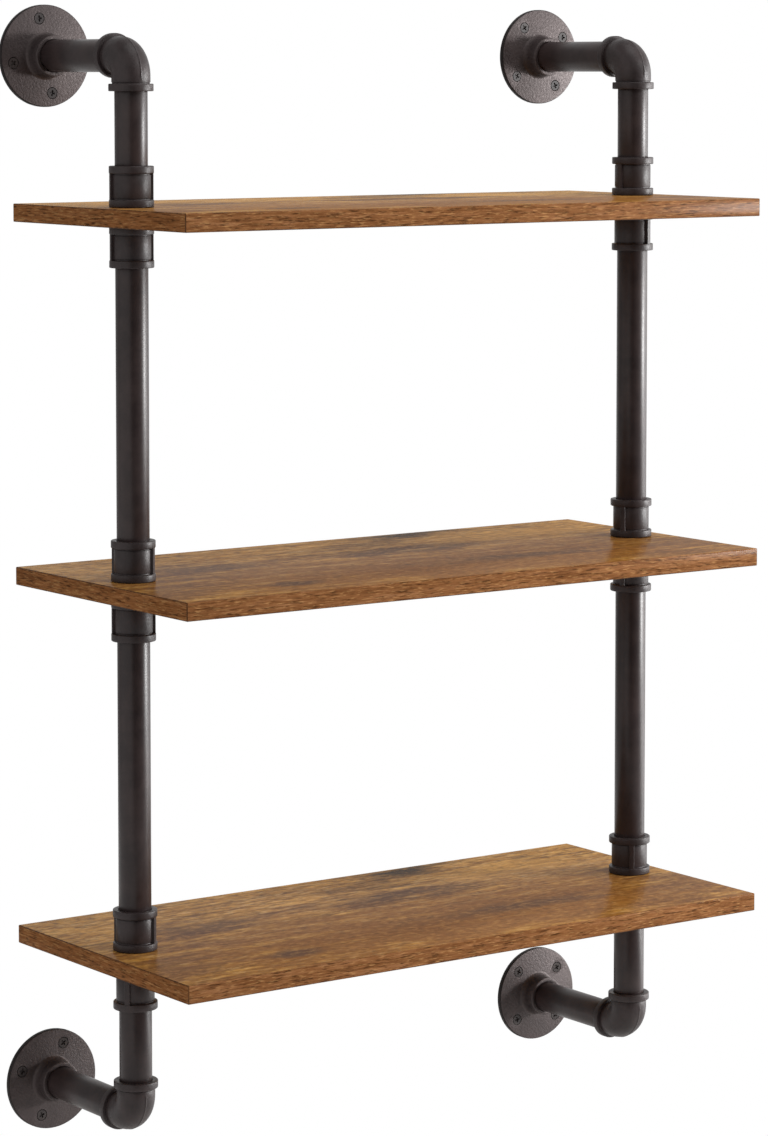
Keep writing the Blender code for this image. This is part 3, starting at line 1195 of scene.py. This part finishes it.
@dataclass
class Studio:
    """The pale floor, the white surround, the lamps and the camera."""

    lamps: Sequence[Softbox]
    flags: Sequence[Flag]
    ambient: float = 0.55
    camera_place: Triple = (-1.933, -2.8412, 0.4336)
    camera_yaw: float = 35.464
    camera_pitch: float = -4.417
    lens: float = 121.57
    sensor: float = 36.0
    camera_drop: float = -0.18  # the photograph's uprights stay upright: a shifted lens
    floor_height: float = -1.25
    floor_size: float = 5.0
    floor_colour: str = "F2F1EE"
    floor_roughness: float = 0.9
    floor_fade: Pair = (0.9, 2.0)  # distances where the floor starts and ends its fade to white

    def build(self) -> None:
        """Set up everything round the object."""
        bpy.context.scene.view_settings.view_transform = "Standard"
        for item in (*self.lamps, *self.flags):
            item.build()
        self.surround()
        self.floor()
        self.camera()

    def background_ray(self, tree: Tree) -> Socket:
        """Tell rays that look at the surround from rays that light the object.

        Args:
            tree: The node tree of the floor or the world.

        Returns:
            One for camera, glossy and transmission rays, and zero for the rest.
        """
        seen = add_node(tree, "LightPath", out="Is Camera Ray")
        rays = seen.node.outputs
        for kind in ("Is Glossy Ray", "Is Transmission Ray"):
            seen = add_node(tree, "Math", (seen, rays[kind]), operation="MAXIMUM")
        return seen

    def surround(self) -> None:
        """Make the world white to look at and soft as a light."""
        world = bpy.data.worlds.new("white_surround")
        world.use_nodes = True
        bpy.context.scene.world = world
        tree = world.node_tree
        soft = tree.nodes["Background"]
        feed(tree, soft, {"Color": WHITE, "Strength": self.ambient})
        white = add_node(tree, "Background", {"Color": WHITE, "Strength": 1.0})
        either = (self.background_ray(tree), soft.outputs["Background"], white)
        mix = add_node(tree, "MixShader", either)
        feed(tree, tree.nodes["World Output"], {"Surface": mix})

    def floor(self) -> None:
        """Lay a pale floor far below the shelf that fades to white at its rim."""
        bpy.ops.mesh.primitive_plane_add(size=self.floor_size, location=(0, 0, self.floor_height))
        floor = bpy.context.object
        floor.name = "floor"
        # Matt studio paper: it gives the eye a soft shadow and no edge.
        material, tree, shader = blank_material("pale_floor")
        paper = {"Base Color": linear(self.floor_colour), "Roughness": self.floor_roughness}
        feed(tree, shader, paper)
        place = add_node(tree, "TexCoord", out="Object")
        distance = add_node(tree, "VectorMath", (place,), "Value", operation="LENGTH")
        fade = add_node(tree, "MapRange", (distance, *self.floor_fade))
        share = add_node(tree, "Math", (fade, self.background_ray(tree)), operation="MULTIPLY")
        white = add_node(tree, "Emission", {"Color": WHITE, "Strength": 1.0})
        mix = add_node(tree, "MixShader", (share, shader.outputs["BSDF"], white))
        feed(tree, tree.nodes["Material Output"], {"Surface": mix})
        floor.data.materials.append(material)

    def camera(self) -> None:
        """Stand the camera at the photograph's viewing angle."""
        data = bpy.data.cameras.new("camera")
        data.sensor_width = self.sensor
        data.lens = self.lens
        data.shift_y = self.camera_drop
        camera = bpy.data.objects.new("camera", data)
        bpy.context.scene.collection.objects.link(camera)
        camera.location = self.camera_place
        pitch = math.radians(90 + self.camera_pitch)
        camera.rotation_euler = (pitch, 0.0, math.radians(-self.camera_yaw))
        bpy.context.scene.camera = camera


# Ochre oak with smoke stains, under a thin film that mirrors the couplings at a low angle. The two
# wide reddish-brown clouds in front of the couplings are painted shadow of the couplings.
FACE_PRINT = PrintedWood(
    name="printed_oak_face",
    grain=Grain.FACE,
    tones=((0.34, "8F5F28"), (0.46, "B37F39"), (0.56, "CB9648"), (0.68, "E8B569")),
    clouds=(
        Cloud("835327", (20.0, -214.0), (520.0, 126.0), 0.86),
        Cloud("97693C", (40.0, -250.0), (170.0, 24.0), 0.50),
        Cloud("5C3C29", (-172.0, -108.0), (62.0, 28.0), 0.80),
        Cloud("4C2709", (52.0, -98.0), (116.0, 32.0), 0.86),
        Cloud("5A4030", (92.0, -196.0), (110.0, 18.0), 0.70),
        Cloud("5A4030", (-165.0, -228.0), (28.0, 15.0), 0.80),
        Cloud("2A1606", (95.0, -20.0), (58.0, 24.0), 0.92),
        Cloud("54391F", (-16.0, -86.0), (14.0, 4.0), 0.80),
        Cloud("5E4329", (225.0, -32.0), (16.0, 6.0), 0.60),
        Cloud("40220D", (45.0, -56.0), (72.0, 20.0), 0.52),
        Cloud("DCA452", (175.0, -70.0), (90.0, 30.0), 0.46),
        Cloud("64402A", (-212.0, -148.0), (40.0, 24.0), 0.45),
        # The next two clouds are painted shadow: the couplings' shade on the board in front of
        # them.
        Cloud("664632", (-290.0, -218.0), (75.0, 76.0), 0.54),
        Cloud("664632", (282.0, -214.0), (75.0, 80.0), 0.55),
        Cloud("7B4C22", (-30.0, -232.0), (46.0, 34.0), 0.42),
        Cloud("6B431F", (190.0, -258.0), (110.0, 22.0), 0.46),
    ),
    # Real pores are under 1 mm across: all marks are drawn coarser to show at this distance.
    marks=(
        Mark("54371F", (120.0, 7.0, 30.0), 0.52, 0.66, 0.60, 4.0, over_clouds=False),
        Mark("4C301A", (17.0, 4.5, 8.0), 0.52, 0.65, 0.60, over_clouds=False),
        Mark("EBC080", (16.0, 4.5, 8.0), 0.52, 0.68, 0.55, over_clouds=False),
        Mark("3A2413", (8.0, 5.0, 8.0), 0.50, 0.68, 0.37),
        Mark("DDA55C", (8.0, 5.0, 8.0), 0.50, 0.68, 0.25),
    ),
    hair_mm=(16.0, 5.0, 6.0),
)
# The edge bands' print looks redder and finer than the faces', with hardly any shine.
LONG_BAND = PrintedWood(
    name="printed_oak_long_band",
    grain=Grain.LONG_EDGE,
    tones=((0.34, "623D22"), (0.48, "7A5030"), (0.60, "875C3C"), (0.70, "9C7450")),
    marks=(
        Mark("53301A", (60.0, 3.0, 30.0), 0.52, 0.66, 0.45, 4.0),
        Mark("2F1B0E", (12.0, 1.2, 5.0), 0.53, 0.65, 0.75),
        Mark("C0925F", (10.0, 1.1, 5.0), 0.54, 0.68, 0.48),
    ),
    streak_mm=(60.0, 4.0, 30.0),
    hair_mm=(16.0, 1.2, 6.0),
    wear_layer=0.05,
)
# The ends wear the band's print in lighter tones: painted light that makes up for the ends facing
# away from the lamps.
END_BAND = replace(
    LONG_BAND,
    name="printed_oak_end_band_painted_light",
    grain=Grain.END,
    tones=((0.34, "6A4022"), (0.48, "865631"), (0.60, "95643E"), (0.70, "A87A52")),
)
# The arrises are painted dark as shade: a thin dark line that ends each face.
ARRIS_PAINTED_SHADE = PrintedWood(
    name="board_arris_painted_shade",
    grain=Grain.FACE,
    tones=((0.40, "472D1B"), (0.60, "694528")),
    marks=(Mark("8A6038", (30.0, 4.0, 8.0), 0.54, 0.66, 0.6),),
)
# Enamel on drawn pipe lies even, so a soft bright line runs down each pipe.
PIPE_ENAMEL = Enamel("bronze_black_pipe_enamel")
# The cast grain under the enamel breaks up the fittings' shine. It is nearer 0.5 mm: on
# fittings and flanges it is drawn coarser to show at this distance.
FITTING_ENAMEL = Enamel(
    "bronze_black_cast_enamel",
    deep="292121",
    pale="372D2D",
    grit_mm=1.9,
    grit_depth_mm=0.12,
    polish=(0.38, 0.52),
)
# The flanges' flat faces are cast coarse: side light catches on the grain and greys them.
FLANGE_ENAMEL = Enamel(
    "bronze_black_flange_enamel",
    deep="201A1A",
    pale="2E2626",
    grit_mm=2.4,
    grit_depth_mm=0.4,
    polish=(0.46, 0.62),
    gloss=0.63,
    gloss_colour="FFEDEB",
)
# The flange's edge is painted darker than the plate and hardly shines: painted shade that draws a
# dark line round the plate.
RIM_PAINTED_SHADE = Enamel(
    "bronze_black_rim_painted_shade", deep="181312", pale="221C1B", polish=(0.5, 0.62), gloss=0.15
)
# Black oxide on steel is a dull grey-black, so the heads stay quiet in their holes.
SCREW_BLACK = Enamel(
    "black_oxide_screw", deep="262020", pale="38302E", grit_mm=0.8, polish=(0.4, 0.52)
)

COUPLING_TURNS = {
    (Side.LEFT, Shelf.TOP): (-20.0, -17.0),
    (Side.LEFT, Shelf.MIDDLE): (-50.0, -25.0),
    (Side.LEFT, Shelf.BOTTOM): (-54.0, 35.0),
    (Side.RIGHT, Shelf.TOP): (10.0, -73.0),
    (Side.RIGHT, Shelf.MIDDLE): (26.0, 25.0),
    (Side.RIGHT, Shelf.BOTTOM): (58.0, -70.0),
}
FLANGE_TURNS = {
    (Side.LEFT, End.UPPER): 11.0,
    (Side.LEFT, End.LOWER): -20.0,
    (Side.RIGHT, End.UPPER): 34.0,
    (Side.RIGHT, End.LOWER): 43.0,
}
LAMPS = (
    Softbox("key", (2.65, -1.8, 0.22), (0.5, 0.6), 98.0),
    Softbox("rim", (2.4, -0.29, -0.05), (1.0, 2.2), 24.0, (0.0, -0.14, -0.05), Reach.REFLECTION),
    Softbox("strip", (2.3, -1.1, 0.0), (0.35, 1.8), 23.0, (0.0, -0.14, 0.1), Reach.REFLECTION),
    Softbox("fill", (1.4, -3.1, 2.5), (1.8, 1.4), 40.0),
    Softbox("overhead", (0.2, -0.5, 2.3), (1.6, 1.2), 15.0),
)
FLAGS = (
    Flag("front_flag", (-0.6, -2.05, 0.2), (2.4, 2.6)),
    Flag("side_card", (1.3, -2.92, 0.2), (2.3, 2.8), 0.08, target=(0.0, -0.14, 0.2)),
    Flag("ceiling_card", (0.0, -0.4, 2.7), (4.0, 4.0), 0.1),
    Flag("back_card", (-0.75, 1.25, 0.35), (2.0, 2.2), 0.45),
)


def main() -> None:
    """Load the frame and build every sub-assembly."""
    logging.basicConfig(level=logging.INFO, format="%(name)s: %(message)s")
    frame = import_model()
    nodes = frame["nodes"]
    screw_names = sorted(name for name in nodes if "_screw_" in name)
    collar = Collar()
    built = {
        "boards": Boards((FACE_PRINT, LONG_BAND, END_BAND, ARRIS_PAINTED_SHADE)).build(),
        "pipes": Pipes(PIPE_ENAMEL).build(nodes),
        "couplings": Couplings(FITTING_ENAMEL, collar, COUPLING_TURNS).build(),
        "elbows": Elbows(FITTING_ENAMEL, collar).build(),
        "flanges": Flanges(FLANGE_ENAMEL, RIM_PAINTED_SHADE, FLANGE_TURNS).build(),
        "screws": Screws(SCREW_BLACK).build(screw_names),
    }
    for group, pieces in built.items():
        for piece in pieces:
            LOG.info("%s: %s has %d faces", group, piece.name, len(piece.data.polygons))
    Studio(LAMPS, FLAGS).build()


if __name__ == "__main__":
    main()
